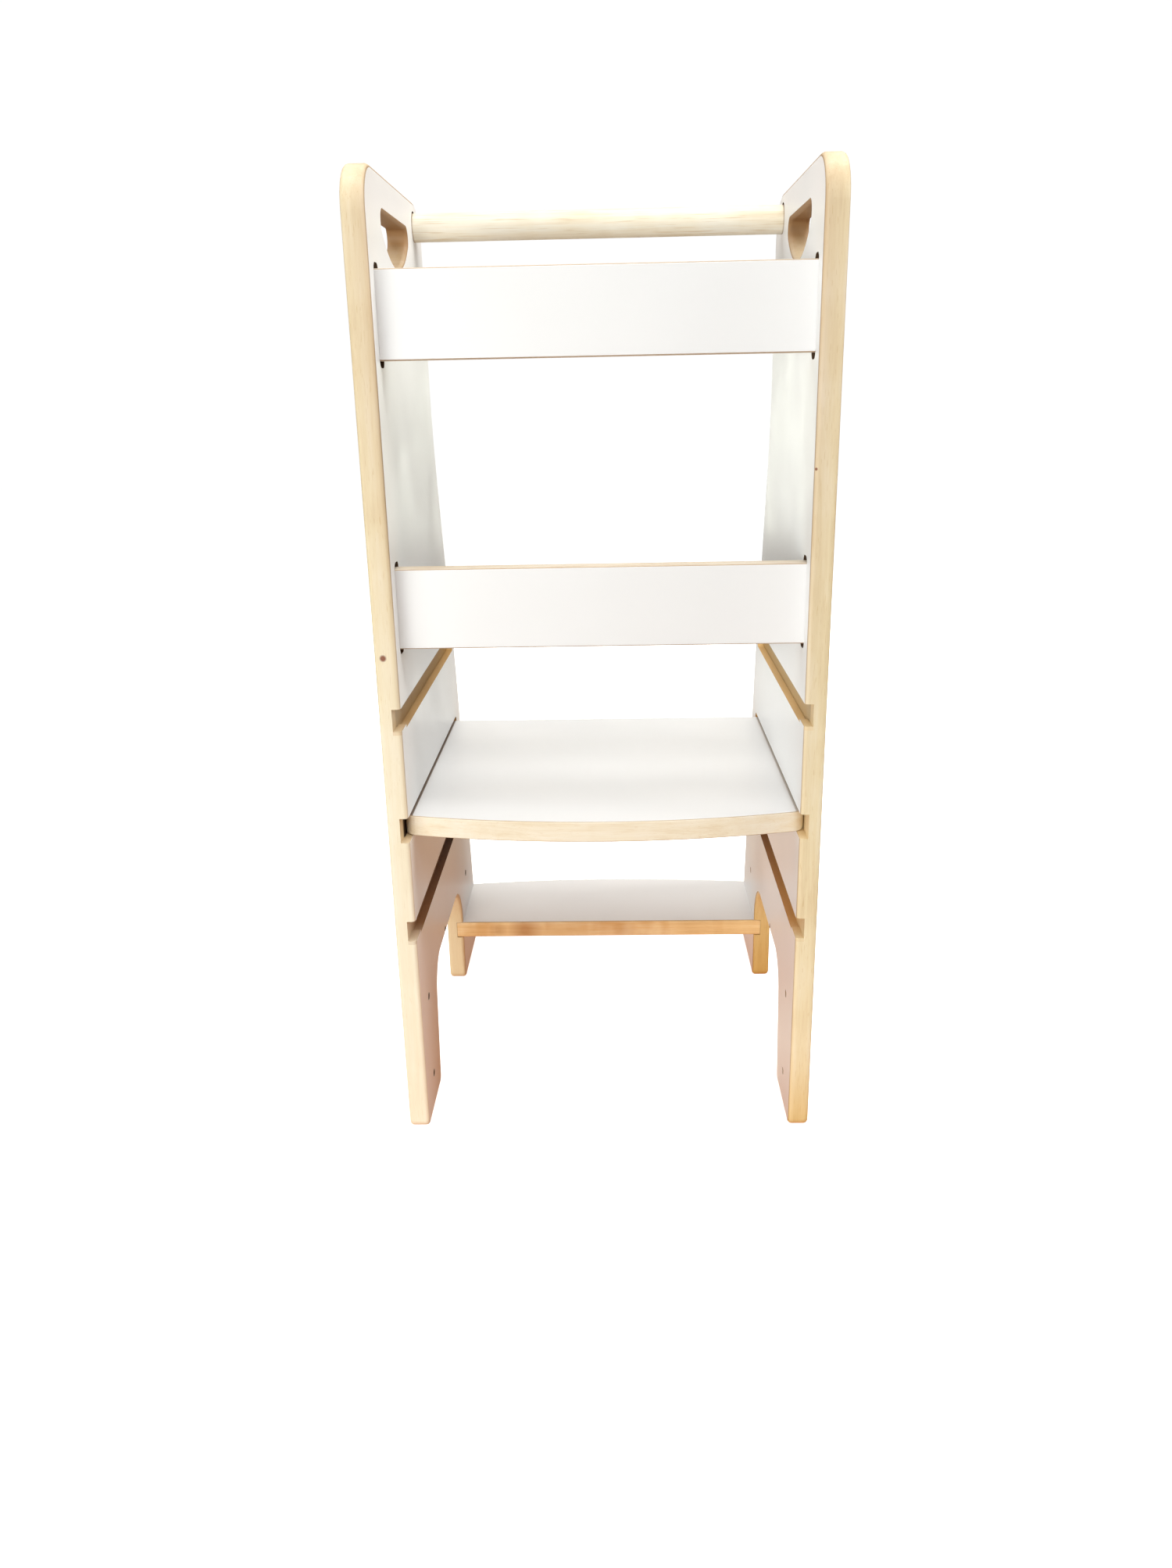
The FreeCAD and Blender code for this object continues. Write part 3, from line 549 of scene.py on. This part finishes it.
FLOOR_HALF = 8.0
FLOOR_ROUGHNESS = 0.7
FLOOR_SCALE = 1.5
WARM_FLOOR_DROP = 0.002
WHITE_TONES = ((0.90, 0.90, 0.90), (0.92, 0.92, 0.92))
WARM_TONES = ((0.10, 0.05, 0.02), (0.14, 0.07, 0.03))

# The white floor's glow by distance from the stool: from where to where, and how strong.
WHITE_GLOW = (0.35, 0.90, 0.90, 1.02)

# Where the warm floor glows: middle, distances of full glow and of none, colour. These give the
# brown light under the platform and the sheen on the inner faces of the panels.
WARM_PATCHES = [
    ((0.10, -0.14, 0.0), (0.20, 0.80), (0.46, 0.145, 0.02)),
    ((0.0, 0.27, 0.0), (0.06, 0.26), (0.42, 0.40, 0.37)),
    ((0.20, 0.72, 0.0), (0.15, 0.42), (0.80, 0.66, 0.48)),
    ((0.0, 1.60, 0.0), (0.35, 0.65), (1.30, 1.34, 1.28)),
    ((0.15, -0.04, 0.0), (0.03, 0.15), (0.42, 0.52, 0.46)),
]


def floor_material(graph, coordinates, tones, glow_colour, glow_strength):
    colour = graph.two_tones(graph.noise(coordinates, FLOOR_SCALE, detail=2.0), tones)
    return graph.finish(graph.shader(colour, FLOOR_ROUGHNESS, Emission_Color=glow_colour,
                                     Emission_Strength=glow_strength))


def white_floor_material():
    graph = Graph("floor_white")
    coordinates = graph.coordinates()
    glow = graph.span(graph.distance(coordinates, (0.0, 0.0, 0.0)), *WHITE_GLOW)
    return floor_material(graph, coordinates, WHITE_TONES, (1.0, 1.0, 1.0, 1.0), glow)


def warm_floor_material():
    graph = Graph("floor_warm")
    coordinates = graph.coordinates()
    glow = (0.0, 0.0, 0.0)
    for middle, reach, colour in WARM_PATCHES:
        near = graph.span(graph.distance(coordinates, middle), *reach, 1.0, 0.0)
        glow = graph.mix(near, glow, colour, blend="ADD")
    return floor_material(graph, coordinates, WARM_TONES, glow, 1.0)


def add_floor(name, height, material):
    corners = [(across * FLOOR_HALF, back * FLOOR_HALF, height)
               for across, back in ((-1, -1), (1, -1), (1, 1), (-1, 1))]
    mesh = bpy.data.meshes.new(name)
    mesh.from_pydata(corners, [], [(0, 1, 2, 3)])
    floor = bpy.data.objects.new(name, mesh)
    bpy.context.scene.collection.objects.link(floor)
    floor.data.materials.append(material)
    return floor


def add_floors():
    """Only the camera sees the white floor. The warm one just under it, which the camera doesn't
    see, tints the light that comes up from below, as a wooden floor does."""
    white_floor = add_floor("floor_white", 0.0, white_floor_material())
    for kind in ("diffuse", "glossy", "transmission", "shadow"):
        setattr(white_floor, "visible_" + kind, False)
    warm_floor = add_floor("floor_warm", -WARM_FLOOR_DROP, warm_floor_material())
    warm_floor.visible_camera = False


# ---------------------------------------------------------------- light

SURROUND_STRENGTH = 1.02

# Soft boxes: name, place, target, size, power in watts and colour.
SOFT_BOXES = [
    ("top", (0.0, 0.0, 3.0), (0.0, 0.0, 0.45), (3.0, 3.0), 86.0, (1.0, 1.0, 1.0)),
    ("front_high", (0.2, -2.6, 2.3), (0.0, -0.1, 0.4), (2.0, 1.2), 27.0, (0.97, 0.99, 1.0)),
    ("window", (-1.2, -2.8, 0.6), (0.0, 0.0, 0.3), (1.8, 1.0), 24.0, (0.92, 0.98, 1.0)),
    ("front_right", (2.0, -2.2, 2.2), (0.0, 0.0, 0.45), (1.6, 1.6), 12.0, (0.96, 0.98, 0.94)),
    ("front_low", (-1.7, -2.1, 0.44), (0.0, 0.0, 0.2), (2.0, 0.8), 34.0, (0.97, 0.99, 0.97)),
    ("left", (-2.8, 0.3, 1.7), (0.0, 0.0, 0.5), (1.2, 0.8), 14.0, (1.0, 0.98, 0.95)),
    ("right", (2.8, -0.2, 1.9), (0.0, 0.0, 0.7), (1.2, 0.8), 55.0, (1.0, 0.98, 0.93)),
    ("rear", (0.0, 2.8, 0.6), (0.0, 0.0, 0.3), (2.0, 0.8), 9.8, (0.97, 1.0, 0.88)),
    ("rear_high", (0.0, 2.8, 1.4), (0.0, 0.0, 0.3), (2.0, 0.7), 5.0, (1.0, 0.86, 0.76)),
]


def add_soft_box(name, place, target, size, power, colour):
    data = bpy.data.lights.new(name, "AREA")
    data.shape = "RECTANGLE"
    data.size, data.size_y = size
    data.energy = power
    data.color = colour
    light = bpy.data.objects.new(name, data)
    light.location = place
    light.rotation_euler = (Vector(target) - Vector(place)).to_track_quat("-Z", "Y").to_euler()
    light.visible_camera = False
    bpy.context.scene.collection.objects.link(light)


def add_world():
    """A plain white surround that only the camera sees. The stool is lit by the lamps."""
    world = bpy.data.worlds.new("studio")
    world.use_nodes = True
    background = world.node_tree.nodes["Background"]
    background.inputs["Color"].default_value = (1.0, 1.0, 1.0, 1.0)
    background.inputs["Strength"].default_value = SURROUND_STRENGTH
    bpy.context.scene.world = world
    for kind in ("diffuse", "glossy", "transmission", "scatter"):
        setattr(world.cycles_visibility, kind, False)


# ---------------------------------------------------------------- camera

# Fitted to the photograph: focal length in pixels of the 1500 wide image, place, and angles in
# radians. Pitch looks down, and roll turns the camera's right side down.
FOCAL_PX = 1526.86
PHOTO_WIDTH = 1500
SENSOR_WIDTH_MM = 36.0
CLIP_START = 0.05
CAMERA_PLACE = Vector((0.0123, FRONT_PLANE - 1.0267, 0.7113))
YAW, PITCH, ROLL = -0.0269094, 0.3257828, 0.0201566


def add_camera():
    forward = Vector((math.sin(YAW) * math.cos(PITCH), math.cos(YAW) * math.cos(PITCH), -math.sin(PITCH)))
    level = Vector((math.cos(YAW), -math.sin(YAW), 0.0))
    steep = forward.cross(level)
    right = math.cos(ROLL) * level + math.sin(ROLL) * steep
    down = math.cos(ROLL) * steep - math.sin(ROLL) * level
    data = bpy.data.cameras.new("photo_camera")
    data.sensor_fit = "HORIZONTAL"
    data.sensor_width = SENSOR_WIDTH_MM
    data.lens = SENSOR_WIDTH_MM * FOCAL_PX / PHOTO_WIDTH
    data.clip_start = CLIP_START
    camera = bpy.data.objects.new("photo_camera", data)
    rotation = Matrix((right, -down, -forward)).transposed()
    camera.matrix_world = Matrix.Translation(CAMERA_PLACE) @ rotation.to_4x4()
    bpy.context.scene.collection.objects.link(camera)
    bpy.context.scene.camera = camera


add_floors()
add_world()
for soft_box in SOFT_BOXES:
    add_soft_box(*soft_box)
bpy.context.scene.view_settings.view_transform = "Standard"
add_camera()
